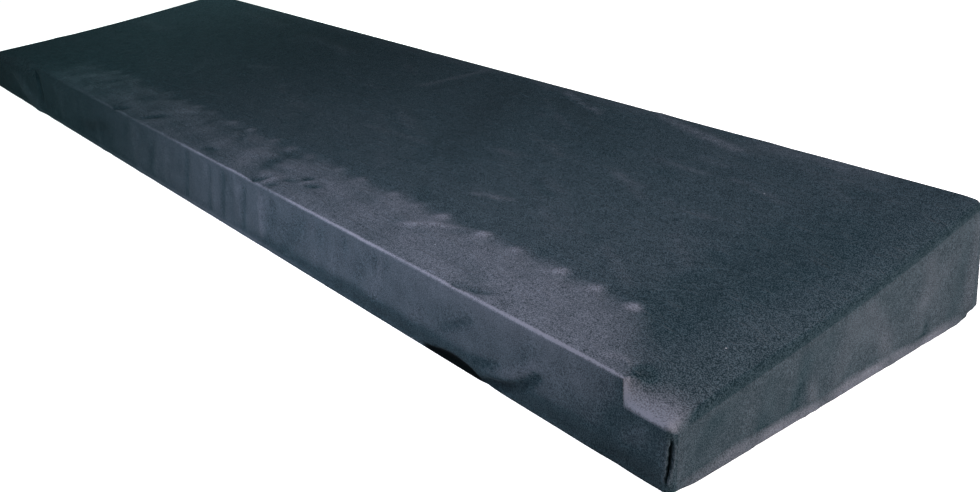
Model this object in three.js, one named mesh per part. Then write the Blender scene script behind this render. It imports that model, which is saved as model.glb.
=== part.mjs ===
// A fitted dust cover of stretch knit, in the shape in which it is worn: one sheet with four drops,
// pulled tight over a raised middle and two low shoulders, and turned under along its whole edge.
// Millimetres, +Z up, front at -Y, right end at +X, origin at the middle of the underside.

import * as THREE from 'three';

// Driving dimensions
const LENGTH = 1034; // left to right
const DEPTH = 264; // front to back
const CLOTH = 2; // thickness of the sheet
const SHOULDER_HEIGHT = 34; // top edge at both ends of the front
const RIDGE_HEIGHT = 48; // front edge of the raised middle
const KNUCKLE_HEIGHT = 56.5; // row of knuckles behind the ridge
const BACK_HEIGHT = 74; // rear top edge
const LEFT_EDGE_HEIGHT = 38; // left top edge, close behind its front corner
const LEFT_BEND_HEIGHT = 57.6; // and where it bends
const LEFT_BEND = 100; // distance from the front to that bend
const LEFT_SHOULDER = 157; // width of the low shoulder at the left end
const RIGHT_SHOULDER = 30; // and at the right end
const STRIP_DEPTH = 50; // from the front to the row of knuckles
const STEP_WIDTH = 5; // run of the cloth from the raised middle down to a shoulder
const FACET_SLOPE = 1.5; // rise over run of the small facet at a shoulder's front
const FACET_BLEND = 2; // softness of the crease above that facet
const SHEET_BLEND = 2; // softness of the creases between the flat stretches of the top
const EDGE_RADIUS = 4; // rounding of the top edges
const CORNER_RADIUS = 7; // upright corners, seen from above
const CORNER_TUCK = 5; // radius of the turned-under edge at the corners
const TUCK_FADE = 45; // distance from a corner over which that radius changes
const HEM_WIDTH = 24; // how far the edge is turned under
const HEM_CORNER_RADIUS = 26; // corners of the opening below
const KNUCKLE_DIP = 3; // sag of the cloth between two knuckles
const KNUCKLE_HALF = 10; // half width of a knuckle
const DIP_REACH = 22; // how far in front and behind the sag shows
const CLOTH_COLOUR = 0x2d373f;

// The knuckles repeat in groups of five, counted from the right end of the raised middle
const KNUCKLES = { first: 39.5, repeat: 163, groups: 5, steps: [0, 27, 54, 93.5, 122.5] };

// Radius of the turned-under edge in the middle of each side
const TUCK_RADIUS = { front: 6, right: 10, back: 7, left: 8 };

// Stretches where the edge is turned under further: side, middle along the side, half length, extra radius
const DEEP_TUCKS = [
  { side: 'front', at: 352, half: 32, extra: 8 },
  { side: 'right', at: -72, half: 22, extra: 3 },
  { side: 'back', at: -190, half: 50, extra: 4 },
  { side: 'back', at: 260, half: 40, extra: 3 },
];

// Soft folds in the drops: a line from one [along the side, height] to another, half width, and the
// rise off the drop, which is below zero for a trough
const FOLDS = [
  { side: 'front', from: [-428, 28], to: [-368, 3], half: 9, rise: 3 },
  { side: 'front', from: [-362, 44], to: [-350, 12], half: 9, rise: -5 },
  { side: 'front', from: [-230, 16], to: [-171, 25], half: 7, rise: -2 },
  { side: 'front', from: [14, 40], to: [4, 10], half: 8, rise: -2 },
  { side: 'front', from: [77, 40], to: [69, 12], half: 9, rise: -2 },
  { side: 'front', from: [135, 42], to: [130, 14], half: 9, rise: 3 },
  { side: 'front', from: [348, 20], to: [379, 36], half: 8, rise: -3 },
  { side: 'front', from: [384, 6], to: [425, 26], half: 9, rise: 3 },
  { side: 'right', from: [12, 52], to: [38, 11], half: 11, rise: 2 },
  { side: 'right', from: [-80, 30], to: [-62, 10], half: 10, rise: 2 },
  { side: 'back', from: [-330, 60], to: [-300, 12], half: 14, rise: 2.5 },
  { side: 'back', from: [-195, 22], to: [-120, 52], half: 12, rise: -3 },
  { side: 'back', from: [90, 58], to: [70, 14], half: 12, rise: 2 },
  { side: 'back', from: [262, 16], to: [330, 48], half: 13, rise: -3 },
  { side: 'left', from: [-30, 40], to: [-8, 10], half: 14, rise: 3 },
  { side: 'left', from: [70, 52], to: [48, 12], half: 12, rise: -3 },
];

const HALF_LENGTH = LENGTH / 2;
const HALF_DEPTH = DEPTH / 2;
const LEFT_STEP = -HALF_LENGTH + LEFT_SHOULDER;
const RIGHT_STEP = HALF_LENGTH - RIGHT_SHOULDER;
const { lerp, clamp } = THREE.MathUtils;

// Middle of every knuckle, from left to right
function knuckleCentres() {
  const centres = [];
  for (let group = 0; group < KNUCKLES.groups; group += 1) {
    for (const step of KNUCKLES.steps) {
      centres.push(RIGHT_STEP - KNUCKLES.first - group * KNUCKLES.repeat - step);
    }
  }
  return centres.sort((a, b) => a - b);
}

const KNUCKLE_CENTRES = knuckleCentres();

// The lower of two heights, with a soft crease where they meet
function softLower(a, b, blend) {
  return (a + b - Math.hypot(a - b, blend)) / 2;
}

// Points that hold the tight sheet up, as [x, distance back from the front, height]
const SUPPORTS = {
  frontLeft: [-HALF_LENGTH, 0, LEFT_EDGE_HEIGHT],
  bendLeft: [-HALF_LENGTH, LEFT_BEND, LEFT_BEND_HEIGHT],
  ridgeLeft: [LEFT_STEP, 0, RIDGE_HEIGHT],
  ridgeRight: [RIGHT_STEP, 0, RIDGE_HEIGHT],
  frontRight: [HALF_LENGTH, 0, SHOULDER_HEIGHT],
  knuckleLeft: [KNUCKLE_CENTRES[0], STRIP_DEPTH, KNUCKLE_HEIGHT],
  knuckleRight: [KNUCKLE_CENTRES.at(-1), STRIP_DEPTH, KNUCKLE_HEIGHT],
  backLeft: [-HALF_LENGTH, DEPTH, BACK_HEIGHT],
  backRight: [HALF_LENGTH, DEPTH, BACK_HEIGHT],
};

// Flat stretches of the tight sheet, each through three of those points
const STRETCHES = [
  ['ridgeLeft', 'ridgeRight', 'knuckleRight'],
  ['knuckleLeft', 'knuckleRight', 'backRight'],
  ['ridgeRight', 'backRight', 'knuckleRight'],
  ['ridgeRight', 'frontRight', 'backRight'],
  ['ridgeLeft', 'knuckleLeft', 'bendLeft'],
  ['frontLeft', 'ridgeLeft', 'bendLeft'],
  ['bendLeft', 'knuckleLeft', 'backLeft'],
].map((names) => {
  const corners = names.map((name) => new THREE.Vector3(...SUPPORTS[name]));
  return new THREE.Plane().setFromCoplanarPoints(...corners);
});

// Height of the tight sheet: the lowest of its flat stretches, softly joined
function sheetHeight(x, back) {
  return STRETCHES.map(({ normal, constant }) => {
    return -(normal.x * x + normal.y * back + constant) / normal.z;
  }).reduce((lowest, height) => softLower(lowest, height, SHEET_BLEND));
}

// Sag of the sheet between neighbouring knuckles
function knuckleSag(x, back) {
  if (x < LEFT_STEP || x > RIGHT_STEP) {
    return 0;
  }
  const nearest = Math.min(...KNUCKLE_CENTRES.map((centre) => Math.abs(x - centre)));
  const between = 1 - Math.exp(-((nearest / KNUCKLE_HALF) ** 2));
  return KNUCKLE_DIP * between * Math.exp(-(((back - STRIP_DEPTH) / DIP_REACH) ** 2));
}

// Height of the top: the sheet, drawn down to a facet along the front of each shoulder
function topHeight(x, y) {
  const back = y + HALF_DEPTH;
  const sheet = sheetHeight(x, back) - knuckleSag(x, back);
  const outside = Math.max(LEFT_STEP - x, x - RIGHT_STEP);
  const climb = clamp(1 - outside / STEP_WIDTH, 0, 1) * (RIDGE_HEIGHT - SHOULDER_HEIGHT);
  if (outside <= 0) {
    return sheet;
  }
  return softLower(sheet, SHOULDER_HEIGHT + climb + FACET_SLOPE * back, FACET_BLEND);
}

// Distance from a point to the line that a fold runs along
function distanceToFold(fold, along, height) {
  const [ax, az] = fold.from;
  const runX = fold.to[0] - ax;
  const runZ = fold.to[1] - az;
  const share = ((along - ax) * runX + (height - az) * runZ) / (runX ** 2 + runZ ** 2);
  const nearest = clamp(share, 0, 1);
  return Math.hypot(along - ax - nearest * runX, height - az - nearest * runZ);
}

// How far the folds lift a drop off its plane
function foldRise(side, along, height) {
  return FOLDS.filter((fold) => fold.side === side).reduce((rise, fold) => {
    const distance = distanceToFold(fold, along, height) / fold.half;
    return rise + fold.rise * Math.exp(-(distance ** 2));
  }, 0);
}

// Radius of the turned-under edge at a place along a side, tight at both corners
function tuckRadius(side, along) {
  if (side === 'corner') {
    return CORNER_TUCK;
  }
  const half = side === 'front' || side === 'back' ? HALF_LENGTH : HALF_DEPTH;
  const share = clamp((half - CORNER_RADIUS - Math.abs(along)) / TUCK_FADE, 0, 1);
  const deeper = DEEP_TUCKS.filter((tuck) => tuck.side === side).reduce((extra, tuck) => {
    return extra + tuck.extra * Math.exp(-(((along - tuck.at) / tuck.half) ** 2));
  }, 0);
  return lerp(CORNER_TUCK, TUCK_RADIUS[side] + deeper, share);
}

// Places along the front where the sheet is cut into columns: each knuckle, each gap and both steps
function columnPlaces() {
  const end = HALF_LENGTH - CORNER_RADIUS;
  const gaps = KNUCKLE_CENTRES.slice(1).map((centre, i) => (centre + KNUCKLE_CENTRES[i]) / 2);
  const leftGap = (LEFT_STEP + KNUCKLE_CENTRES[0]) / 2;
  const rightGap = (RIGHT_STEP + KNUCKLE_CENTRES.at(-1)) / 2;
  const places = [
    -end,
    lerp(-end, LEFT_STEP, 1 / 3),
    lerp(-end, LEFT_STEP, 2 / 3),
    LEFT_STEP - STEP_WIDTH,
    LEFT_STEP,
    leftGap,
    ...KNUCKLE_CENTRES,
    ...gaps,
    rightGap,
    RIGHT_STEP,
    RIGHT_STEP + STEP_WIDTH,
    lerp(RIGHT_STEP + STEP_WIDTH, end, 0.5),
    end,
  ];
  return places.sort((a, b) => a - b);
}

// Places from front to back where the sheet is cut into rows, close together around the knuckles
function rowPlaces() {
  const end = HALF_DEPTH - CORNER_RADIUS;
  const strip = [0.28, 0.54, 0.8, 1].map((share) => share * STRIP_DEPTH - HALF_DEPTH);
  const run = [0.06, 0.19, 0.38, 0.6, 0.81].map((share) => lerp(STRIP_DEPTH, DEPTH, share) - HALF_DEPTH);
  return [-end, ...strip, ...run, end];
}

// The upright lines of the drops, round the cover from the front left corner, each with its place on
// the outline and its direction outwards
function dropLines(columns, rows) {
  const lines = [];
  const add = (side, along, x, y, outX, outY) => lines.push({ side, along, x, y, outX, outY });
  const corner = (signX, signY) => {
    const reach = CORNER_RADIUS * Math.SQRT1_2;
    const x = signX * (HALF_LENGTH - CORNER_RADIUS + reach);
    const y = signY * (HALF_DEPTH - CORNER_RADIUS + reach);
    add('corner', 0, x, y, signX * Math.SQRT1_2, signY * Math.SQRT1_2);
  };
  corner(-1, -1);
  columns.forEach((x) => add('front', x, x, -HALF_DEPTH, 0, -1));
  corner(1, -1);
  rows.forEach((y) => add('right', y, HALF_LENGTH, y, 1, 0));
  corner(1, 1);
  columns.toReversed().forEach((x) => add('back', x, x, HALF_DEPTH, 0, 1));
  corner(-1, 1);
  rows.toReversed().forEach((y) => add('left', y, -HALF_LENGTH, y, -1, 0));
  return lines;
}

// A point that lies a given distance inwards from the outline
function inwards(line, inset, z) {
  return new THREE.Vector3(line.x - line.outX * inset, line.y - line.outY * inset, z);
}

// Where a line of the drop meets the opening below, whose corners are drawn into arcs by the hem
function openingPoint(line) {
  const halfX = HALF_LENGTH - HEM_WIDTH - HEM_CORNER_RADIUS;
  const halfY = HALF_DEPTH - HEM_WIDTH - HEM_CORNER_RADIUS;
  const middleX = line.x * (halfX / (HALF_LENGTH - CORNER_RADIUS));
  const middleY = line.y * (halfY / (HALF_DEPTH - CORNER_RADIUS));
  const x = clamp(middleX, -halfX, halfX) + line.outX * HEM_CORNER_RADIUS;
  const y = clamp(middleY, -halfY, halfY) + line.outY * HEM_CORNER_RADIUS;
  return new THREE.Vector3(x, y, 0);
}

// One line of the drop from the top edge down and under: rounded top edge, folded wall, turned-under
// edge and flat hem
function dropProfile(line) {
  const points = [];
  const tuck = tuckRadius(line.side, line.along);
  for (const turn of [0, 1 / 2, 1]) {
    const angle = (turn * Math.PI) / 2;
    const point = inwards(line, EDGE_RADIUS * (1 - Math.sin(angle)), 0);
    point.z = topHeight(point.x, point.y) - EDGE_RADIUS * (1 - Math.cos(angle));
    points.push(point);
  }
  const edge = points.at(-1).z;
  for (const share of [1 / 3, 2 / 3]) {
    const z = lerp(edge, tuck, share);
    points.push(inwards(line, -foldRise(line.side, line.along, z), z));
  }
  for (const turn of [0, 1 / 2, 1]) {
    const angle = (turn * Math.PI) / 2;
    points.push(inwards(line, tuck * (1 - Math.cos(angle)), tuck * (1 - Math.sin(angle))));
  }
  points.push(openingPoint(line));
  return points;
}

// The outer face of the cover: a grid for the top, joined to rings that go down the drops
function outerFace() {
  const columns = columnPlaces();
  const rows = rowPlaces();
  const profiles = dropLines(columns, rows).map(dropProfile);
  const ringSize = profiles.length;
  const ringCount = profiles[0].length;
  const points = [];
  for (let ring = 0; ring < ringCount; ring += 1) {
    profiles.forEach((profile) => points.push(profile[ring]));
  }
  const across = columns.length + 2;
  const deep = rows.length + 2;
  const gridIndex = (i, j) => {
    if (j === 0) {
      return i;
    }
    if (i === across - 1) {
      return across - 1 + j;
    }
    if (j === deep - 1) {
      return across - 1 + deep - 1 + (across - 1 - i);
    }
    if (i === 0) {
      return ringSize - j;
    }
    return ringCount * ringSize + (j - 1) * columns.length + (i - 1);
  };
  for (const y of rows) {
    columns.forEach((x) => points.push(new THREE.Vector3(x, y, topHeight(x, y))));
  }
  const faces = [];
  for (let j = 0; j < deep - 1; j += 1) {
    for (let i = 0; i < across - 1; i += 1) {
      const [a, b] = [gridIndex(i, j), gridIndex(i + 1, j)];
      const [c, d] = [gridIndex(i + 1, j + 1), gridIndex(i, j + 1)];
      faces.push([a, b, c], [a, c, d]);
    }
  }
  for (let ring = 0; ring < ringCount - 1; ring += 1) {
    faces.push(...bandFaces(ring * ringSize, (ring + 1) * ringSize, ringSize));
  }
  return { points, faces, ringSize, hemStart: (ringCount - 1) * ringSize };
}

// Triangles between two closed rings of points, the second one further along the cloth
function bandFaces(first, second, ringSize) {
  const faces = [];
  for (let i = 0; i < ringSize; i += 1) {
    const next = (i + 1) % ringSize;
    faces.push([first + i, second + i, second + next], [first + i, second + next, first + next]);
  }
  return faces;
}

function geometryOf(points, faces) {
  const geometry = new THREE.BufferGeometry();
  const coordinates = points.flatMap((point) => point.toArray());
  geometry.setAttribute('position', new THREE.Float32BufferAttribute(coordinates, 3));
  geometry.setIndex(faces.flat());
  geometry.computeVertexNormals();
  return geometry;
}

// The whole sheet: the outer face, the same face moved in by the cloth's thickness, and the cut edge
// between them round the opening
function coverGeometry() {
  const { points, faces, ringSize, hemStart } = outerFace();
  const normals = geometryOf(points, faces).getAttribute('normal');
  const count = points.length;
  const inner = points.map((point, i) => {
    const normal = new THREE.Vector3().fromBufferAttribute(normals, i);
    return point.clone().addScaledVector(normal, -CLOTH);
  });
  const innerFaces = faces.map(([a, b, c]) => [count + a, count + c, count + b]);
  const cutEdge = bandFaces(hemStart, count + hemStart, ringSize);
  return geometryOf([...points, ...inner], [...faces, ...innerFaces, ...cutEdge]);
}

const knit = new THREE.MeshStandardMaterial({ color: CLOTH_COLOUR, roughness: 0.85, metalness: 0 });
const cover = new THREE.Mesh(coverGeometry(), knit);
cover.name = 'cover';

const dustCover = new THREE.Group();
dustCover.add(cover);

export default dustCover;
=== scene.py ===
import math

import bpy
import numpy as np
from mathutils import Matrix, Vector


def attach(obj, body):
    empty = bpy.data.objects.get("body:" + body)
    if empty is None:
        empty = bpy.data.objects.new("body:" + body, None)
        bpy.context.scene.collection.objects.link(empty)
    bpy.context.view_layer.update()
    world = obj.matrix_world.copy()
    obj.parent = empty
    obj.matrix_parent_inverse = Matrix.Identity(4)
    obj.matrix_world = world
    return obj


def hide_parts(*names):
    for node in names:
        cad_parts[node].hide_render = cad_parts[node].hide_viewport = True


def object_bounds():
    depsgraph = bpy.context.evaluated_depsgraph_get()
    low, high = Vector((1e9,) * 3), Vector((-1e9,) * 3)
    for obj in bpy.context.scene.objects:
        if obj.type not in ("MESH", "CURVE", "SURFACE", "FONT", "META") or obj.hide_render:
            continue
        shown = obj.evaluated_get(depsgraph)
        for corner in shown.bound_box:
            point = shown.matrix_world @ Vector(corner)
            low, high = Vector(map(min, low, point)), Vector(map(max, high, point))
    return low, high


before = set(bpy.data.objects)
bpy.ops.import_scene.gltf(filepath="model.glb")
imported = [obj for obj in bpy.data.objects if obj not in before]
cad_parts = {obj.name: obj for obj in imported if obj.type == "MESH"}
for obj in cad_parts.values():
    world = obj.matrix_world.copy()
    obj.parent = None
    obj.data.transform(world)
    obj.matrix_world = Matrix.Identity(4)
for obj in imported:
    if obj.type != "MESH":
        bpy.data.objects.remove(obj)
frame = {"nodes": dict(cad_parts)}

# A fitted dust cover of stretch knit, in the shape in which it is worn: one sheet with four drops,
# pulled tight over a raised middle and two low shoulders, and turned under along its whole edge.
# Shapes are worked out in millimetres, with the front at -Y and the right end at +X.
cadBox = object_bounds()
mm = 0.001
print("frame loaded:", ", ".join(frame["nodes"]))


# Camera. The picture is a crop, so the lens looks at a pixel beside its middle.
photoCamera = {
    "place": (0.7779, -0.4201, 0.2810),  # metres
    "turn": 47.30,                       # degrees to the left of straight ahead
    "dip": 20.03,                        # degrees below the horizon
    "focal": 1041.8,                     # pixels
    "axis": (590, 200),                  # pixel that the lens looks at
    "frame": (980, 492),                 # pixels
    "sensor": 36,                        # millimetres
}


def addCamera(spec):
    # lens = focal length in picture widths times the sensor; shift = axis off the middle, in widths
    width, height = spec["frame"]
    lens = bpy.data.cameras.new("camera")
    lens.sensor_width = spec["sensor"]
    lens.lens = spec["focal"] / width * spec["sensor"]
    lens.shift_x = (width / 2 - spec["axis"][0]) / width
    lens.shift_y = (spec["axis"][1] - height / 2) / width
    lens.clip_start = 0.01
    camera = bpy.data.objects.new("camera", lens)
    camera.location = spec["place"]
    camera.rotation_euler = (math.radians(90 - spec["dip"]), 0, math.radians(spec["turn"]))
    bpy.context.collection.objects.link(camera)
    bpy.context.scene.camera = camera


addCamera(photoCamera)
print("camera placed")


# The cover. Lengths in millimetres, "back" is the distance from the front, and a rise is outwards.
cover = {
    "length": 1034,           # left to right
    "depth": 264,             # front to back
    "shoulder": 34,           # top edge at both ends of the front
    "ridge": 48,              # front edge of the raised middle
    "knuckle": 58.3,          # row of knuckles behind the ridge
    "rear": 74.5,             # rear top edge
    "leftEdge": (38.0, 57.6),  # left top edge: close behind its front corner, and where it bends
    "leftBend": 100,          # distance from the front to that bend
    "leftShoulder": 157,      # width of the low shoulder at the left end
    "rightShoulder": 30,      # and at the right end
    "strip": 46,              # from the front to the row of knuckles
    "thickness": 1.6,         # of the cloth
    "sheetBlend": 1.5,        # softness of the creases between the flat stretches
    "sideBlend": (0.5, 9.0),  # and of those towards both ends: at the edges, and added halfway back
    "rollOff": (15, 1.0),     # along the right top edge the cloth already turns down: width and drop
    "facetReach": 1.5,        # how far back the facet beyond a step goes, for each mm away from the step
    "facetSpan": (8, 30),     # distance from the left and the right step at which the facet stops widening
    "facetBlend": 2.0,        # softness of its rear boundary
    "edgeRadius": {"front": 1.9, "right": 3.4, "back": 3.0, "left": 2.6},  # rounding of the top edges
    "cornerRadius": 5.0,      # upright corners, seen from above
    "tuck": 1.5,              # radius of the turned-under edge
    "hemWidth": 24,           # how far the edge is turned under
    "hemCorner": 26,          # radius of the opening's corners
    "knuckleDip": 0.9,        # sag of the cloth between two knuckles
    "knuckleHalf": 6.0,       # half width of a knuckle
    "dipReach": (9, 8),       # how far the sag shows in front of them and behind
    "columnPitch": (4.6, 2.9),  # spacing of the mesh along the length: at the left end, and at the right
    "rowPitch": (2.6, 4.2),   # and from front to back: over the strip, and behind it
    "stepColumns": (-4, -2, -0.8, 0, 0.4, 0.8, 1.4, 2.2, 3.4, 5, 7, 9.5),  # extra columns, away from a step
    "stepClear": 1.4,         # no other column is nearer to them
    "nearRows": 1.3,          # the close rows go this many strips back
    "wallCrowd": 1.6,         # power by which the rings of the drops crowd towards the hem
    "cornerColumns": 21,
    "edgeRings": 6,
    "wallRings": 15,
    "tuckRings": 6,
    "hemRings": 5,
}

halfLength = cover["length"] / 2
halfDepth = cover["depth"] / 2
leftStep = -halfLength + cover["leftShoulder"]
rightStep = halfLength - cover["rightShoulder"]

# The knuckles come in groups of five, counted from the right end of the raised middle
knuckles = {"first": 39.5, "repeat": 163, "groups": 5, "steps": (0, 27, 54, 93.5, 122.5)}
knuckleX = np.sort([
    rightStep - knuckles["first"] - group * knuckles["repeat"] - step
    for group in range(knuckles["groups"])
    for step in knuckles["steps"]
])

# Points that hold the tight sheet up: x, back, height
supports = {
    "frontLeft": (-halfLength, 0, cover["leftEdge"][0]),
    "bendLeft": (-halfLength, cover["leftBend"], cover["leftEdge"][1]),
    "ridgeLeft": (leftStep, 0, cover["ridge"]),
    "ridgeRight": (rightStep, 0, cover["ridge"]),
    "frontRight": (halfLength, 0, cover["shoulder"]),
    "knuckleLeft": (knuckleX[0], cover["strip"], cover["knuckle"]),
    "knuckleRight": (knuckleX[-1], cover["strip"], cover["knuckle"]),
    "backLeft": (-halfLength, cover["depth"], cover["rear"]),
    "backRight": (halfLength, cover["depth"], cover["rear"] + cover["rollOff"][1]),
}

# Flat stretches of the sheet, each through three of those points
stretches = (
    ("ridgeLeft", "ridgeRight", "knuckleRight"),
    ("knuckleLeft", "knuckleRight", "backRight"),
    ("ridgeRight", "backRight", "knuckleRight"),
    ("ridgeRight", "frontRight", "backRight"),
    ("ridgeLeft", "knuckleLeft", "bendLeft"),
    ("frontLeft", "ridgeLeft", "bendLeft"),
    ("bendLeft", "knuckleLeft", "backLeft"),
)


def softLower(a, b, blend):
    # mean of the two less half the length of (difference, blend): the lower one, with a soft crease
    return (a + b - np.hypot(a - b, blend)) / 2


def smoothStep(low, high, value):
    # 0 up to low, 1 from high on, and 3t^2 - 2t^3 between
    share = np.clip((value - low) / (high - low), 0, 1)
    return share * share * (3 - 2 * share)


def sines(along, waves):
    # sum of size times sin(along / length + phase)
    return sum(size * np.sin(along / length + phase) for size, length, phase in waves)


def planeThrough(names):
    # p, q, r of the plane z = p x + q back + r through three supports
    corners = np.array([supports[name] for name in names], float)
    return np.linalg.solve(np.column_stack([corners[:, :2], np.ones(3)]), corners[:, 2])


planes = [planeThrough(names) for names in stretches]


def crease(start, end, half, rise, bow=0.0, lean=0.0):
    # one soft fold along a line: half width, rise, sideways bow of its middle, and lean from side to side
    return {"start": start, "end": end, "half": half, "rise": rise, "bow": bow, "lean": lean}


def creaseRise(u, v, creases):
    # sum over the creases of (rise + lean q) e^(-q^2 - e^2): q is the distance sideways in half widths,
    # from a line that bows by 4t(1 - t), and e the distance past either end in half widths
    total = np.zeros(np.shape(u))
    for fold in creases:
        (u0, v0), (u1, v1) = fold["start"], fold["end"]
        length = math.hypot(u1 - u0, v1 - v0)
        alongU, alongV = (u1 - u0) / length, (v1 - v0) / length
        travel = (u - u0) * alongU + (v - v0) * alongV
        aside = (v - v0) * alongU - (u - u0) * alongV
        share = np.clip(travel / length, 0, 1)
        q = (aside - fold["bow"] * 4 * share * (1 - share)) / fold["half"]
        past = (travel - share * length) / (2 * fold["half"])
        total += (fold["rise"] + fold["lean"] * q) * np.exp(-q * q - past * past)
    return total


def randomCreases(seed, count, spanU, spanV, heading, spread, lengths, halves, rises, lean=0.0):
    # creases with their middles spread over a field, headings around one angle and sizes within ranges
    rng = np.random.default_rng(seed)
    middleU, middleV = rng.uniform(*spanU, count), rng.uniform(*spanV, count)
    angle = np.radians(rng.normal(heading, spread, count))
    reach = rng.uniform(*lengths, count) / 2
    half, rise = rng.uniform(*halves, count), rng.uniform(*rises, count)
    bow = rng.normal(0, 0.1, count) * reach
    tilt = rng.normal(0, lean, count)
    du, dv = reach * np.cos(angle), reach * np.sin(angle)
    return [
        crease((middleU[i] - du[i], middleV[i] - dv[i]), (middleU[i] + du[i], middleV[i] + dv[i]),
               half[i], rise[i], bow[i], tilt[i])
        for i in range(count)
    ]


# Creases of the top, in x and back
topCreases = [
    crease((124, 4), (126, 7), 2.3, -1.6),
    crease((140, 6), (143, 8), 2.3, -1.3),
    crease((146, 15), (149, 17), 2.3, -1.3),
    crease((156, 24), (159, 25), 2.3, -1.6),
    crease((169, 20), (174, 22), 2.3, -1.2),
    crease((133, 7), (135, 12), 2.6, 1.0),
    crease((145, 11), (146, 12), 2.3, 1.0),
    crease((151, 20), (152, 21), 2.3, 1.0),
    crease((162, 20), (163, 24), 2.6, 0.9),
    crease((-84, 10), (-77, 15), 2.8, -1.8),
    crease((-138, 2), (-131, 6), 2.8, -1.8),
    crease((358, 3), (378, 8), 2.0, -1.1, bow=-1.0),
    crease((273, 25), (324, 47), 2.2, 0.9, bow=4.0),
    crease((470, 8), (481, 10.5), 2.2, 0.8, bow=1.0),
    crease((166, 254), (217, 239), 4.0, 0.7, lean=0.6),
    crease((264, 257), (361, 236), 4.5, 0.7, lean=0.7),
    crease((170, 225), (239, 204), 4.0, 0.5, lean=0.4),
    crease((336, 177), (343, 183), 2.6, -0.6),
    crease((454, 226), (465, 235), 2.6, -0.6),
    crease((55, 155), (212, 95), 3.5, 0.5, bow=3.0, lean=0.3),
    crease((-470, 150), (-410, 146), 9.0, 1.0, lean=0.9),
    crease((-370, 232), (-285, 226), 9.0, 1.0, lean=0.9),
    crease((-205, 219), (-115, 213), 8.0, 0.9, lean=0.8),
]
topCreases += randomCreases(11, 70, (-480, 470), (60, 258), -16, 9,
                            (40, 130), (3.2, 6.5), (-0.28, 0.28), 0.22)
topCreases += randomCreases(12, 52, (-360, 150), (6, 46), -10, 50,
                            (6, 26), (3.0, 6.5), (-0.60, 0.45), 0.25)
topCreases += randomCreases(14, 28, (150, 470), (6, 46), -10, 50,
                            (6, 26), (3.5, 7.5), (-0.25, 0.20), 0.15)
topCreases += randomCreases(13, 16, (-500, -370), (10, 130), 20, 40,
                            (20, 60), (4.0, 8.0), (-0.4, 0.4), 0.2)

# Painted highlights and painted shade along the wrinkles of the top, in the same way, with a share of
# paleness as the rise
streaks = [
    crease((43, 201), (55, 251), 4.0, 0.16),
    crease((60, 197), (74, 246), 4.0, -0.12),
    crease((166, 252), (220, 235), 2.6, 0.30, bow=-1.5),
    crease((172, 246), (216, 231), 2.6, -0.10),
    crease((163, 233), (229, 201), 2.8, 0.14, bow=-2.0),
    crease((264, 258), (352, 238), 3.2, 0.20, bow=-2.0),
    crease((94, 111), (166, 116), 2.4, 0.08),
    crease((127, 127), (89, 143), 2.4, 0.08),
    crease((211, 138), (238, 142), 2.2, 0.12),
    crease((270, 80), (294, 88), 2.0, 0.18),
    crease((252, 54), (239, 62), 2.2, -0.22),
    crease((-158, 136), (-131, 148), 3.0, 0.10),
    crease((122, 218), (172, 150), 22.0, -0.20),  # from here on broad patches of painted light and shade, then a painted highlight along the rear edge
    crease((190, 230), (245, 205), 18.0, -0.14),
    crease((-240, 100), (50, 95), 42.0, 0.035),
    crease((462, 62), (468, 150), 20.0, -0.12),
    crease((-390, 258), (240, 258), 8.0, 0.09),
    crease((370, 256), (440, 258), 10.0, 0.13),
]
streaks += randomCreases(32, 90, (-220, 470), (60, 252), -16, 14,
                         (12, 50), (1.8, 2.8), (-0.08, 0.11))


def knuckleSag(x, back):
    # dip, times 1 - e^(-n^2) for the nearest knuckle, times e^(-b^2) for the distance from their row
    nearest = np.abs(x[..., None] - knuckleX).min(axis=-1) / cover["knuckleHalf"]
    behind = back - cover["strip"]
    reach = behind / np.where(behind < 0, *cover["dipReach"])
    within = smoothStep(leftStep - 6, leftStep + 6, x) * smoothStep(rightStep + 6, rightStep - 6, x)
    return cover["knuckleDip"] * within * (1 - np.exp(-nearest**2)) * np.exp(-reach**2)


def topHeight(x, y):
    # the lowest of the planes, softly joined, less the sag; beyond a step it is no higher than a facet that
    # rises from the shoulder's front edge by the step's height over reach times the distance from the step
    back = np.clip(y + halfDepth, 0, None)
    heights = [p * x + q * back + r for p, q, r in planes]
    sheet = softLower(heights[0], heights[1], cover["sheetBlend"])
    halfway = np.sin(math.pi * np.clip(back / cover["depth"], 0, 1)) ** 0.7
    least, added = cover["sideBlend"]
    for height in heights[2:]:
        sheet = softLower(sheet, height, least + added * halfway)
    sheet = sheet - knuckleSag(x, back) + creaseRise(x, back, topCreases)
    width, fall = cover["rollOff"]
    sheet = sheet - fall * np.clip(1 + (x - halfLength) / width, 0, None) ** 2
    outside = np.maximum(leftStep - x, x - rightStep)
    span = np.clip(outside, 1e-3, np.where(x < 0, *cover["facetSpan"]))
    rise = (cover["ridge"] - cover["shoulder"]) * back / (cover["facetReach"] * span)
    facet = softLower(sheet, cover["shoulder"] + rise, cover["facetBlend"] * smoothStep(0, 6, back))
    return np.where(outside > 0, facet, sheet)
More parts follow.
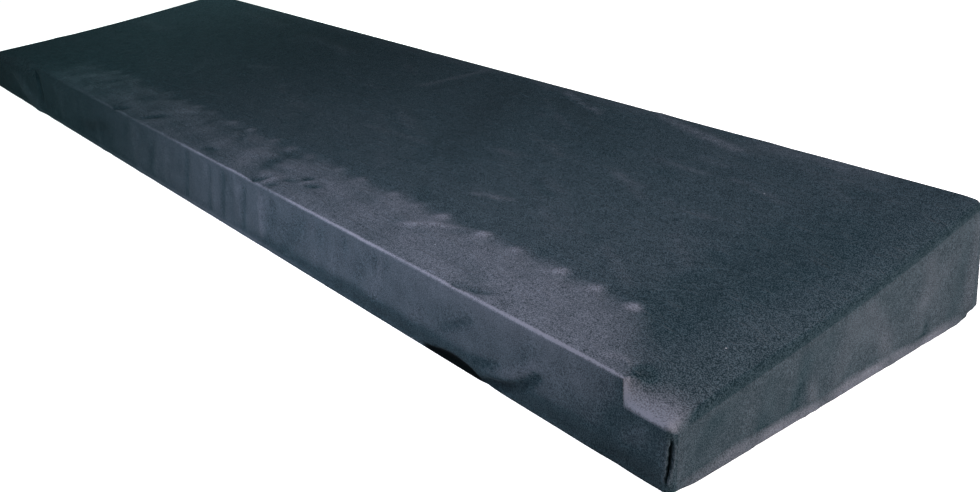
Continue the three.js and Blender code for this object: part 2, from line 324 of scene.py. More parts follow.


# Where the knit is drawn tight its paler yarn shows, and over that a painted highlight: over the strip, the
# front edge and the facet at the right step, each by a share, and more and more from the left end to the
# right, as painted light that grows towards the right end
pale = {
    "span": {"edge": (-320, 450), "strip": (0, 460)},  # where the change along the length starts and ends
    "start": 0.42,            # how much of the strip's there is before
    # strip, ridge line and facet: paler knit under tension together with painted highlight; front and right:
    # painted light on those sides
    "strip": 0.35, "ridge": 1.25, "facet": 0.85, "facetEdge": 0.5, "front": 0.15, "right": 0.085,
    "upper": 0.18, "upperSpan": (200, 440), "upperHeight": (24, 50),  # painted light on the front, towards its top edge
    "top": 0.055,             # painted light on the whole top, at the right end
    "knuckle": (0.15, 0.7),   # least and most painted highlight on a knuckle
    "lastKnuckle": 0.9,       # and on the last one, the palest
    "puff": (0.5, 3.4),       # how far in front of the row a knuckle's painted highlight is, and its half width
    "ragged": ((0.22, 19, 1), (0.16, 7.3, 0)),  # waves of the strip's rear boundary: size, length, phase
    "nicks": (0.10, 3.9, 5),  # slanted ones: size, length along and back
    "bound": {"rear": (-0.9, 1.2), "side": (-3.0, 2.5)},  # softness of the strip's boundaries
    "knucklePush": 0.12,      # how much further the strip reaches at a knuckle, in millimetres of height
    "facetDepth": (3, 0.5, 20),  # the facet's: at the step, more for each mm beyond it, up to a distance
    "mottle": 0.45,           # of the strip towards the left
    "edgeTurn": (0.63, 0.33),  # where the painted highlight line is on the rounded edge, and its half width, in radians
    "edgeLine": 0.80,         # its mean, and its waves
    "edgeWaves": ((0.32, 31, 0), (0.20, 13, 0)),
    "frontSpan": (-240, 80),  # where the front's painted light starts and is full
    "bandWaves": ((0.35, 11, 0), (0.25, 4.7, 2)),  # patches of painted light along the hem's band
    "fold": (0.06, 0.30),     # painted highlight on a crease's rise and painted shade in its hollow, for each millimetre of rise: behind the strip, and on it
    "smudge": (0.40, 489.6, 10.5, 5.5, 4.0),  # painted shade beside the right step: share, x, back, halves
    "fuzz": {"strip": 0.95, "facet": 0.50, "wall": 0.5},  # how much of the grain is left there
}
# painted highlight on each knuckle, at random between the least and the most
knuckleLift = np.random.default_rng(31).uniform(*pale["knuckle"], len(knuckleX))
knuckleLift[-1] = pale["lastKnuckle"]

# Painted shade of the drops, in shares: the foot of the front, its gap and the right top edge; a painted
# highlight along the hem's edge by its share; and, for each millimetre of rise within a span, painted
# highlight on folds and seams and painted shade in their hollows
soil = {
    "foot": 0.32, "footHeight": (18, 5), "footSpan": (40, 300),
    "gap": 0.9, "rightEdge": 0.25,
    "edge": 0.12, "edgeHeight": 2.6, "edgeHalf": 0.9,
    "fold": 0.15, "foldSpan": (-5.0, 0.8),
}


def stretchedAndLitPlaces(x, back):
    # strip: where its plane is the lowest one, up to a boundary that wavers by sines and reaches further at
    # the knuckles; facet: e^(-b^2) behind its front edge; knuckles: lift times e^(-n^2) around each of them.
    # All three mark where paler knit under tension and painted highlight go.
    heights = [p * x + q * back + r for p, q, r in planes]
    apart = np.abs(x[..., None] - knuckleX)
    knuckled = np.exp(-((apart.min(axis=-1) / cover["knuckleHalf"]) ** 2))
    pushed = pale["knucklePush"] * knuckled
    size, length, slant = pale["nicks"]
    ragged = sines(x, pale["ragged"]) + size * np.sin(x / length + back / slant)
    strip = smoothStep(*pale["bound"]["rear"], heights[1] - heights[0] + pushed + ragged)
    strip *= smoothStep(*pale["bound"]["side"], np.min(heights[2:], axis=0) - heights[0])
    beyond = x - rightStep
    least, more, most = pale["facetDepth"]
    reach = least + more * np.clip(beyond, 0, most)
    facet = smoothStep(0, 0.8, beyond) * np.exp(-((np.clip(back, 0, None) / reach) ** 2))
    # painted highlight just in front of each knuckle
    puff = knuckleLift[apart.argmin(axis=-1)] * knuckled**2
    before, half = pale["puff"]
    puff = puff * np.exp(-(((back - cover["strip"] + before) / half) ** 2))
    return strip, facet, puff


def paleShare(x, back):
    # strip, knuckles and facet times a soft step along the length, and the strip mottled where that is low;
    # creases in proportion to their rise, and streaks; less painted shade beside the right step. The step
    # along the length and the spread over the top are painted light, brighter towards the right.
    strip, facet, puff = stretchedAndLitPlaces(x, back)
    behind, on = pale["fold"]
    # painted highlight and shade on the creases of the top, and the streaks
    folded = (behind + (on - behind) * strip) * creaseRise(x, back, topCreases)
    folded = folded + creaseRise(x, back, streaks)
    along = smoothStep(*pale["span"]["strip"], x)
    inside = smoothStep(rightStep + 0.5, rightStep - 0.5, x)
    mottled = 1 + pale["mottle"] * (1 - along) * np.sin(x / 13 + back / 9) * np.sin(x / 21 - back / 6)
    # paler knit under tension and painted highlight over the strip, the knuckles and the facet
    stretchAndPaintedLight = inside * (pale["strip"] * strip * mottled + puff) + pale["facet"] * facet
    start = pale["start"] * smoothStep(leftStep - 20, leftStep + 120, x)
    # painted shade beside the right step
    share, middleX, middleBack, halfX, halfBack = pale["smudge"]
    smudge = share * np.exp(-(((x - middleX) / halfX) ** 2) - ((back - middleBack) / halfBack) ** 2)
    # painted light over the top, towards the right end and the front
    spread = pale["top"] * along * (1 - 0.5 * smoothStep(70, 170, back))
    return (start + (1 - start) * along) * stretchAndPaintedLight + (0.8 + 0.2 * along) * folded + spread - smudge


def fuzzShare(x, back):
    # all of the grain on the top, and the share named for them on the strip and the facet
    strip, facet = stretchedAndLitPlaces(x, back)[:2]
    inside = smoothStep(rightStep + 0.5, rightStep - 0.5, x)
    return 1 - (1 - pale["fuzz"]["strip"]) * strip * inside - (1 - pale["fuzz"]["facet"]) * facet


# Drops: height of the hem's band, how far it stands out at the bottom, how far its upper line is drawn in and
# over which half width, and how much painted light makes it paler
sides = ("front", "right", "back", "left")
hemWaves = ((0.16, 17, 0), (0.1, 7.3, 1))  # of that upper line: share of its height, length, phase
hemBands = {
    "front": {"height": 6.0, "flare": 0.3, "draw": 0.2, "half": 2.6, "pale": 0.0},
    "right": {"height": 7.0, "flare": 1.9, "draw": 0.2, "half": 2.2, "pale": 0.22},
    "back": {"height": 7.0, "flare": 1.2, "draw": 1.0, "half": 2.6, "pale": 0.2},
    "left": {"height": 7.0, "flare": 1.2, "draw": 1.0, "half": 2.6, "pale": 0.2},
}

# The hem is pulled in at one place of the front: a lens between two x, up to a height, behind a low lip
gap = {"from": 321, "to": 388, "height": 7.4, "lip": (1.4, 2.2), "edge": 3.0, "depth": 2.2,
       "fade": 12, "shade": (5, 3)}  # both ends, and heights between which painted shade darkens it below


def gapShare(x, z):
    # 1 inside the lens, whose upper line is the height times 4t(1 - t), 0 outside; soft at its upper line
    share = np.clip((x - gap["from"]) / (gap["to"] - gap["from"]), 0, 1)
    upper = gap["height"] * 4 * share * (1 - share)
    return smoothStep(0, gap["edge"], upper - z) * smoothStep(*gap["lip"], z)


# Creases of the drops, in place along the side (x or y) and height
dropCreases = {
    "front": [
        crease((-428, 28), (-372, 6), 7.0, 2.0, bow=-2.0),
        crease((-358, 43), (-352, 25), 5.0, -2.6, bow=1.0),
        crease((-230, 16), (-171, 25), 6.0, -1.6, lean=0.6),
        crease((14, 42), (4, 10), 3.6, -0.8, lean=0.5),
        crease((55, 43), (45.5, 9.5), 3.4, -0.7, lean=0.4),
        crease((77, 42), (69, 12), 3.6, -0.8, lean=0.5),
        crease((111, 43), (102, 10), 3.4, -0.8, lean=0.4),
        crease((136, 42), (130, 14), 3.4, 1.5, lean=0.6),
        crease((348, 21), (372, 34), 2.6, -0.8, lean=0.4),
        crease((376, 11), (394, 16), 2.4, -0.9),
        crease((384, 8), (424, 27), 3.2, 1.5, bow=-3.0),
        crease((387, 3), (426, 22), 2.4, -2.7, bow=-3.5),
        crease((246, 46), (245, 38), 3.0, -0.7),
        crease((282, 46), (280, 37), 3.0, -0.9),
        crease((296, 47), (292, 40), 2.8, -0.7),
    ],
    "right": [
        crease((12, 52), (34, 18), 8.0, 0.9, lean=0.6),
    ],
    "back": [
        crease((-330, 60), (-300, 12), 11.0, 2.3, lean=0.8),
        crease((-195, 22), (-120, 52), 9.0, -2.6),
        crease((90, 58), (70, 14), 10.0, 1.9, lean=0.6),
        crease((262, 16), (330, 48), 10.0, -2.6),
    ],
    "left": [
        crease((-30, 40), (-8, 10), 11.0, 2.6),
        crease((70, 52), (48, 12), 10.0, -2.6),
    ],
}
dropCreases["front"] += randomCreases(21, 60, (-500, 500), (10, 44), 70, 30,
                                      (8, 26), (4, 9), (-0.45, 0.45), 0.3)
dropCreases["right"] += randomCreases(22, 18, (-120, 122), (10, 55), 60, 40,
                                      (12, 36), (5, 10), (-0.45, 0.45), 0.3)
dropCreases["back"] += randomCreases(23, 40, (-500, 500), (12, 66), 75, 30,
                                     (16, 44), (6, 12), (-0.7, 0.7), 0.4)
dropCreases["right"] += randomCreases(25, 18, (-70, 122), (5, 12), 70, 25,
                                      (4, 9), (2.6, 4.0), (-0.5, 0.5), 0.3)
dropCreases["left"] += randomCreases(24, 14, (-120, 122), (10, 55), 60, 40,
                                     (12, 36), (5, 10), (-0.7, 0.7), 0.3)

# Upright corner seams: the cloth is drawn in along a line, stands up as a lip on either side of it, and
# bulges around it, most above the hem
cornerNames = ("frontRight", "backRight", "backLeft", "frontLeft")
cornerSeams = {
    "frontRight": {"depth": 4.0, "half": 0.6, "low": 6, "high": 29, "lip": 0.9,
                   "drift": 2.0, "off": 0, "bulge": 0.5},
    "backRight": {"depth": 3.0, "half": 1.0, "low": 8, "high": 30, "lip": 0.4,
                  "drift": 0.8, "off": -6, "bulge": 5.0},
    "backLeft": {"depth": 1.0, "half": 0.6, "low": 8, "high": 66, "lip": 0.5,
                 "drift": -0.4, "off": 0, "bulge": 3.0},
    "frontLeft": {"depth": 1.2, "half": 0.6, "low": 6, "high": 28, "lip": 0.5,
                  "drift": 0.5, "off": 0, "bulge": 1.0},
}


def columnPlaces():
    # spacing that changes evenly from the left end to the right one, with close columns at both steps
    end = halfLength - cover["cornerRadius"]
    first, last = cover["columnPitch"]
    count = int(round(4 * end / (first + last)))
    share = np.linspace(0, 1, count + 1)
    graded = end * (2 * (first * share + (last - first) * share**2 / 2) / ((first + last) / 2) - 1)
    close = np.array(cover["stepColumns"])
    extra = np.concatenate([leftStep - close, rightStep + close])
    far = np.abs(graded[:, None] - extra).min(axis=1) > cover["stepClear"]
    return np.sort(np.concatenate([graded[far], extra]))


def rowPlaces():
    # two spacings: close over the strip and around the knuckles, wider behind them
    first, last = cover["cornerRadius"], cover["depth"] - cover["cornerRadius"]
    change = cover["strip"] * cover["nearRows"]
    near = np.linspace(first, change, int(round((change - first) / cover["rowPitch"][0])), endpoint=False)
    far = np.linspace(change, last, int(round((last - change) / cover["rowPitch"][1])) + 1)
    return np.concatenate([near, far]) - halfDepth


def outline(columns, rows):
    # the plan of the cover, round from the front left corner: straight sides joined by quarter circles.
    # Each point has its direction outwards, the index of its side, its place along it, its arc length from
    # the middle of a corner (no number on a straight side) and its travel along the whole plan.
    radius = cover["cornerRadius"]
    turns = np.arange(1, cover["cornerColumns"] + 1) / (cover["cornerColumns"] + 1) * math.pi / 2
    endX, endY = halfLength - radius, halfDepth - radius
    parts = []

    def addCorner(index, startAngle, centreX, centreY):
        angle = startAngle + turns
        ox, oy = np.cos(angle), np.sin(angle)
        arc = radius * (turns - math.pi / 4)
        parts.append((centreX + radius * ox, centreY + radius * oy, ox, oy, index, 0 * ox, arc))

    def addSide(index, x, y, ox, oy, along):
        blank = np.zeros(len(along))
        parts.append((x + blank, y + blank, ox + blank, oy + blank, index, along, blank + np.nan))

    addCorner(7, -math.pi, -endX, -endY)
    addSide(0, columns, -halfDepth, 0, -1, columns)
    addCorner(4, -math.pi / 2, endX, -endY)
    addSide(1, halfLength, rows, 1, 0, rows)
    addCorner(5, 0, endX, endY)
    addSide(2, columns[::-1], halfDepth, 0, 1, columns[::-1])
    addCorner(6, math.pi / 2, -endX, endY)
    addSide(3, -halfLength, rows[::-1], -1, 0, rows[::-1])
    x, y, ox, oy, along, arc = (np.concatenate([part[i] for part in parts]) for i in (0, 1, 2, 3, 5, 6))
    side = np.concatenate([np.full(len(part[0]), part[4]) for part in parts])
    travel = np.cumsum(np.hypot(x - np.roll(x, 1), y - np.roll(y, 1)))
    return {"x": x, "y": y, "ox": ox, "oy": oy, "along": along, "arc": arc, "side": side, "travel": travel}


def cornerDistance(line):
    # distance along a straight side to its nearer corner, zero on a corner
    reach = np.where(np.isin(line["side"], (0, 2)), halfLength, halfDepth) - cover["cornerRadius"]
    return np.where(line["side"] < 4, np.clip(reach - np.abs(line["along"]), 0, None), 0)


def seamDistance(line, index):
    # signed distance along the plan from the middle of a corner, the shorter way round
    corner = line["side"] == 4 + index
    middle = np.interp(0, line["arc"][corner], line["travel"][corner])
    whole = line["travel"][-1]
    return (line["travel"] - middle + whole / 2) % whole - whole / 2


def hemLine(along, band):
    # upper line of the hem's band: its height times 1 plus two sines
    return band["height"] * (1 + sines(along, hemWaves))


def hemRise(along, height, band):
    # below the band's wavy upper line the cloth leans out to the flare; at the line it is drawn in, e^(-q^2)
    line = hemLine(along, band)
    below = np.clip(1 - height / line, 0, 1)
    return band["flare"] * below - band["draw"] * np.exp(-(((height - line) / band["half"]) ** 2))


def seamShape(distance, height, seam):
    # groove e^(-a^2) across the seam's line, which leans, bows and wavers a little, and a lip on each side
    # of it; widest above the middle, and both faded in and out over the seam's height
    share = (height - (seam["low"] + seam["high"]) / 2) / (seam["high"] - seam["low"])
    across = distance - seam["off"] - seam["drift"] * (share - 1.2 * share**2 + 0.15 * np.sin(height * 1.3))
    start = smoothStep(seam["low"] - 2, seam["low"] + 3, height)
    end = smoothStep(seam["high"] + 2, seam["high"] - 4, height)
    half = seam["half"] * (0.6 + 0.55 * np.exp(-(((share - 0.1) / 0.3) ** 2)))
    groove = np.exp(-((across / half) ** 2))
    lips = (1 + 0.3 * np.sign(across)) * np.exp(-(((np.abs(across) - 2.2 * half) / seam["half"]) ** 2))
    return start * end * groove, start * end * lips


def seamRise(distance, height, seam):
    # lips less groove, on a bulge e^(-d^2) that is full just above the hem and a third of that at the top
    groove, lips = seamShape(distance, height, seam)
    upwards = smoothStep(2, 9, height) * (1 - 0.65 * np.clip((height - 9) / 60, 0, 1))
    bulge = upwards * np.exp(-((distance / 5) ** 2))
    return seam["lip"] * lips - seam["depth"] * groove + seam["bulge"] * bulge


def dropRise(line, height):
    # creases of each side, faded out at its corners, the gap of the front and the seams of the corners
    rise = np.zeros(height.shape)
    fade = smoothStep(0, 12, cornerDistance(line))
    for index, name in enumerate(sides):
        here = line["side"] == index
        along = np.broadcast_to(line["along"][here], height[:, here].shape)
        folds = creaseRise(along, height[:, here], dropCreases[name])
        rise[:, here] = (folds + hemRise(along, height[:, here], hemBands[name])) * fade[here]
    front = line["side"] == 0
    rise[:, front] -= gap["depth"] * gapShare(line["x"][front], height[:, front])
    for index, name in enumerate(cornerNames):
        rise += seamRise(seamDistance(line, index), height, cornerSeams[name])
    return rise


def openingLine(line):
    # the rounded rectangle that the hem's inner edge follows, point for point with the plan
    halfX = halfLength - cover["hemWidth"] - cover["hemCorner"]
    halfY = halfDepth - cover["hemWidth"] - cover["hemCorner"]
    x = np.clip(line["x"] * halfX / (halfLength - cover["cornerRadius"]), -halfX, halfX)
    y = np.clip(line["y"] * halfY / (halfDepth - cover["cornerRadius"]), -halfY, halfY)
    return x + line["ox"] * cover["hemCorner"], y + line["oy"] * cover["hemCorner"]


def sideValues(line, values):
    # the value of each side, going over evenly from one to the next along the corner between them
    total = np.zeros(len(line["x"]))
    share = 0.5 + np.nan_to_num(line["arc"]) / (cover["cornerRadius"] * math.pi / 2)
    for index, name in enumerate(sides):
        after = values[sides[(index + 1) % 4]]
        total[line["side"] == index] = values[name]
        corner = line["side"] == 4 + index
        total[corner] = values[name] + (after - values[name]) * share[corner]
    return total


def dropRings(line):
    # rings of points from the top edge down and under: a rounded edge, the wall with its creases, the
    # turned-under edge and the flat hem. Returns the points, the length of cloth down to each, and how pale
    # the knit is there, with painted light and shade, and how fuzzy.
    radius = sideValues(line, cover["edgeRadius"])
    tuck = cover["tuck"] + 0 * line["x"]
    turn = np.linspace(0, math.pi / 2, cover["edgeRings"])[:, None]
    inset = radius * (1 - np.sin(turn)) + 0 * tuck
    top = topHeight(line["x"] - line["ox"] * inset, line["y"] - line["oy"] * inset)
    height = top - radius * (1 - np.cos(turn))
    left = np.linspace(1, 0, cover["wallRings"] + 2)[1:-1, None] ** cover["wallCrowd"]
    wall = tuck + (height[-1] - tuck) * left
    under = np.linspace(0, math.pi / 2, cover["tuckRings"])[:, None]
    insets = np.concatenate([inset, 0 * wall, tuck * (1 - np.cos(under))])
    heights = np.concatenate([height, wall, tuck * (1 - np.sin(under))])
    wallWeight, underWeight = smoothStep(0, 6, height[-1] - wall), np.cos(under * 0.8) + 0 * tuck
    weight = np.concatenate([0 * height, wallWeight, underWeight])
    rise = weight * dropRise(line, heights)
    insets = insets - rise
    x, y = line["x"] - line["ox"] * insets, line["y"] - line["oy"] * insets
    endX, endY = openingLine(line)
    hem = np.linspace(0, 1, cover["hemRings"] + 1)[1:, None]
    x = np.concatenate([x, x[-1] + (endX - x[-1]) * hem])
    y = np.concatenate([y, y[-1] + (endY - y[-1]) * hem])
    z = np.concatenate([heights, heights[-1] * (1 - hem)])
    points = np.stack([x, y, z], axis=-1)
    turned = np.concatenate([turn[:, 0], np.full(len(points) - len(turn), math.pi / 2)])
    rise = np.concatenate([rise, np.zeros((cover["hemRings"], rise.shape[1]))])
    paleness = ringPaleness(line, points, turned, rise)
    steps = np.linalg.norm(np.diff(points, axis=0), axis=-1)
    cloth = np.concatenate([0 * tuck[None], steps.cumsum(axis=0)])
    topFuzz = fuzzShare(x, y + halfDepth)
    fuzz = topFuzz + (pale["fuzz"]["wall"] - topFuzz) * np.sin(turned)[:, None]
    return points, cloth, np.stack([paleness, fuzz], axis=-1)


def ringPaleness(line, points, turn, rise):
    # on the top edge as on the top beside it, fading as the cloth turns down; along the front edge a painted
    # highlight line e^(-t^2) around its place in the turn; on the hem the band's own share of painted light
    # below its upper line; on the front and the right side a share of painted light of their own; on folds in
    # proportion to their rise, painted highlight and shade. A share below nothing is painted shade: the foot
    # of the front, most in its gap, and the right top edge; the hem's edge has a painted highlight.
    x, y, z = np.moveaxis(points, -1, 0)
    fade = np.cos(turn)[:, None]
    total = paleShare(x, y + halfDepth) * fade
    along = smoothStep(*pale["span"]["edge"], x)
    middleTurn, halfTurn = pale["edgeTurn"]
    edge = np.exp(-(((turn - middleTurn) / halfTurn) ** 2))[:, None]
    # painted highlight along the rounded front top edge, and along the facet's edge beyond the right step
    ridgeLine = pale["ridge"] * (pale["edgeLine"] + sines(x, pale["edgeWaves"])) * along
    facetLine = pale["facetEdge"] * smoothStep(leftStep, 0, x)
    total += np.where(line["side"] == 0, np.where(x < rightStep, ridgeLine, facetLine) * edge, 0)
    # painted light on each hem's band, below its upper line
    for index, name in enumerate(sides):
        band = hemBands[name]
        below = smoothStep(1.0, 0.6, z / hemLine(line["along"], band))
        below = below * smoothStep(0, 40, cornerDistance(line))
        patchy = 1 + sines(line["along"], pale["bandWaves"])
        total += np.where(line["side"] == index, band["pale"] * below * patchy, 0)
    # painted light on the front and on the right side
    middle = smoothStep(*pale["frontSpan"], x) * smoothStep(rightStep, rightStep - 60, x)
    upper = smoothStep(*pale["upperSpan"], x) * smoothStep(rightStep, rightStep - 8, x)
    upper = pale["upper"] * upper * smoothStep(*pale["upperHeight"], z)
    total += np.where(line["side"] == 0, pale["front"] * middle + upper, 0) * np.sin(turn)[:, None]
    total += np.where(line["side"] == 1, pale["right"], 0) * np.sin(turn)[:, None]
    # painted shade in the front's gap and below it, and on the foot of the front
    pulled = smoothStep(gap["from"], gap["from"] + gap["fade"], x)
    pulled = pulled * smoothStep(gap["to"], gap["to"] - gap["fade"], x)
    hidden = np.maximum(gapShare(x, z), pulled * smoothStep(*gap["shade"], z))
    foot = soil["foot"] * smoothStep(*soil["footSpan"], x) * smoothStep(*soil["footHeight"], z)
    foot = foot + soil["gap"] * hidden
    # painted highlight along the hem's edge
    hemEdge = soil["edge"] * (1 - pulled) * np.exp(-(((z - soil["edgeHeight"]) / soil["edgeHalf"]) ** 2))
    total += np.where(line["side"] == 0, hemEdge - foot, 0)
    # painted shade along the right top edge
    total -= np.where(line["side"] == 1, soil["rightEdge"], 0) * np.sin(2 * turn)[:, None]
    # painted highlight on the rise of folds and seams, painted shade in their hollows
    return total + soil["fold"] * np.clip(rise, *soil["foldSpan"])


def weaveMap(line, cloth, endX, endY):
    # the cloth laid flat: each drop is folded out into the plane of the top. A corner has two such
    # places, one beside either drop, because the knit doesn't run on across its seam.
    flat = {}
    corner = line["side"] >= 4
    arc = np.nan_to_num(line["arc"])
    quarter = cover["cornerRadius"] * math.pi / 4
    for name, sign in (("before", 1), ("after", -1)):
        ox, oy = line["ox"].copy(), line["oy"].copy()
        baseX, baseY = line["x"].copy(), line["y"].copy()
        middle = (line["side"] - 4) * math.pi / 2 - math.pi / 4
        angle = middle - sign * math.pi / 4
        past = arc + sign * quarter
        signX, signY = np.sign(line["x"]), np.sign(line["y"])
        wallX = signX * endX + np.cos(angle) * cover["cornerRadius"] - np.sin(angle) * past
        wallY = signY * endY + np.sin(angle) * cover["cornerRadius"] + np.cos(angle) * past
        baseX[corner], baseY[corner] = wallX[corner], wallY[corner]
        ox[corner], oy[corner] = np.cos(angle)[corner], np.sin(angle)[corner]
        down = cloth - sideValues(line, cover["edgeRadius"])
        flat[name] = np.stack([baseX + ox * down, baseY + oy * down], axis=-1)
    return flat


def coverMesh():
    # a grid for the top, joined to rings that go down the drops; each ring point has a partner in the grid
    columns, rows = columnPlaces(), rowPlaces()
    line = outline(columns, rows)
    rings, cloth, ringLook = dropRings(line)
    gridX, gridY = np.meshgrid(columns, rows)
    grid = np.stack([gridX, gridY, topHeight(gridX, gridY)], axis=-1)
    ringCount, around = rings.shape[:2]
    wide, deep = len(columns), len(rows)
    index = np.arange(deep * wide).reshape(deep, wide)
    cornerCount = cover["cornerColumns"]
    partner = np.concatenate([
        np.full(cornerCount, index[0, 0]), index[0],
        np.full(cornerCount, index[0, -1]), index[:, -1],
        np.full(cornerCount, index[-1, -1]), index[-1, ::-1],
        np.full(cornerCount, index[-1, 0]), index[::-1, 0],
    ])
    ring = deep * wide + np.arange(ringCount * around).reshape(ringCount, around)
    upper = np.concatenate([partner[None], ring[:-1]])
    bands = np.stack([upper, ring, np.roll(ring, -1, 1), np.roll(upper, -1, 1)], axis=-1)
    top = np.stack([index[:-1, :-1], index[:-1, 1:], index[1:, 1:], index[1:, :-1]], axis=-1)
    fans = upper[0] == np.roll(upper[0], -1)
    quads = np.concatenate([top.reshape(-1, 4), bands[0][~fans], bands[1:].reshape(-1, 4)])
    triangles = bands[0][fans][:, :3]
    points = np.concatenate([grid.reshape(-1, 3), rings.reshape(-1, 3)])
    gridBack = gridY + halfDepth
    topLook = np.stack([paleShare(gridX, gridBack), fuzzShare(gridX, gridBack)], axis=-1)
    look = np.concatenate([topLook.reshape(-1, 2), ringLook.reshape(-1, 2)])

    # flat places of the corners of every face, in the same order as the faces
    endX, endY = halfLength - cover["cornerRadius"], halfDepth - cover["cornerRadius"]
    flat = weaveMap(line, cloth, endX, endY)
    plan = grid[..., :2].reshape(-1, 2)
    before = np.concatenate([plan, flat["before"].reshape(-1, 2)])
    after = np.concatenate([plan, flat["after"].reshape(-1, 2)])
    past = (line["side"] >= 4) & (np.nan_to_num(line["arc"]) > -1e-6)
    bandPast = np.broadcast_to(past, bands.shape[:2])
    topPast = np.zeros(len(top.reshape(-1, 4)), bool)
    quadPast = np.concatenate([topPast, bandPast[0][~fans], bandPast[1:].ravel()])
    quadFlat = np.where(quadPast[:, None, None], after[quads], before[quads])
    triangleFlat = np.where(bandPast[0][fans][:, None, None], after[triangles], before[triangles])
    flatPlaces = np.concatenate([quadFlat.reshape(-1, 2), triangleFlat.reshape(-1, 2)])
    return points, quads.tolist() + triangles.tolist(), flatPlaces, look


def addMesh(name, points, faces, material):
    # millimetres to metres, smooth faces, one material
    mesh = bpy.data.meshes.new(name)
    mesh.from_pydata((points * mm).tolist(), [], faces)
    mesh.polygons.foreach_set("use_smooth", np.ones(len(faces), bool))
    mesh.materials.append(material)
    mesh.update()
    piece = bpy.data.objects.new(name, mesh)
    bpy.context.collection.objects.link(piece)
    return piece


def nodeTree(name):
    # a new material with its tree and its shader
    material = bpy.data.materials.new(name)
    material.use_nodes = True
    tree = material.node_tree
    shader = tree.nodes["Principled BSDF"]
    return material, tree, shader


def addNode(tree, kind, settings=None, **sockets):
    # a node with its settings and the values or links of its inputs
    node = tree.nodes.new(kind)
    for name, value in (settings or {}).items():
        setattr(node, name, value)
    for name, value in sockets.items():
        socket = node.inputs[int(name[2:])] if name.startswith("in") else node.inputs[name]
        if isinstance(value, bpy.types.NodeSocket):
            tree.links.new(value, socket)
        else:
            socket.default_value = value
    return node


def mathNode(tree, operation, *values):
    # the result of one sum on values or links
    sockets = {f"in{i}": value for i, value in enumerate(values)}
    return addNode(tree, "ShaderNodeMath", {"operation": operation}, **sockets).outputs[0]


def mixColour(tree, share, first, second):
    # the first colour, going over to the second by a share
    node = addNode(tree, "ShaderNodeMix", {"data_type": "RGBA"})
    for socket, value in ((0, share), (6, first), (7, second)):
        if isinstance(value, bpy.types.NodeSocket):
            tree.links.new(value, node.inputs[socket])
        else:
            node.inputs[socket].default_value = value
    return node.outputs[2]


knit = {
    "dark": (0.0030, 0.0080, 0.0104, 1),
    "light": (0.0200, 0.0335, 0.0410, 1),
    # paler yarn of knit under tension, also the colour of painted highlights
    "paleGroundAndHighlight": (0.086, 0.094, 0.114, 1),
    # near black of painted shade
    "soiled": (0.0004, 0.0012, 0.0012, 1),
    "lint": (0.35, 0.38, 0.42, 1),
    "grain": 0.00065,         # metres, size of the fuzzy grain
    "fleck": 0.0024,          # metres, size of the coarser flecks in it
    "mottle": 0.011,          # metres, size of the soft patches
    "crinkle": (0.070, 0.009),  # metres, length and width of the fine wrinkles
    "crinkleTurn": -16,       # degrees, their heading
    "wale": 0.0009,           # metres, pitch of the knit across
    "course": 0.0007,         # metres, pitch of the knit along
    "roughness": 0.75,
    "specular": 0.015,
    "gloss": (0.85, 1.0, 1.05, 1),
    "sheen": 0.02,
    "sheenRoughness": 0.45,
    "sheenTint": (0.86, 0.9, 1.0, 1),
    "fleckShare": 0.2,        # flecks beside the grain
    "speckle": (3.6, -2.16),  # contrast and offset of both
    "cloud": (0.6, 0.07),     # and of the soft patches
    "uneven": (0.7, 0.6),     # how far both show in the pale ground: of the speckle, and at least
    "lintCells": 90.0,        # cells in a metre, one speck at most in each
    "lintChosen": 0.94,       # cells above this have one
    "lintSize": 0.045,        # in cells
    "lintShare": 0.3,
    "stitchRelief": 0.4,
    "grainRelief": 1.2,
    "crinkleSharp": 18.0,
    "crinklePatch": (4.0, -1.8),  # contrast and offset of the patches that hold them
    "crinkleRelief": (14.0, -7.0),  # for each share of fuzz, and offset
    "bump": (0.5, 0.0003),    # strength, and metres
}


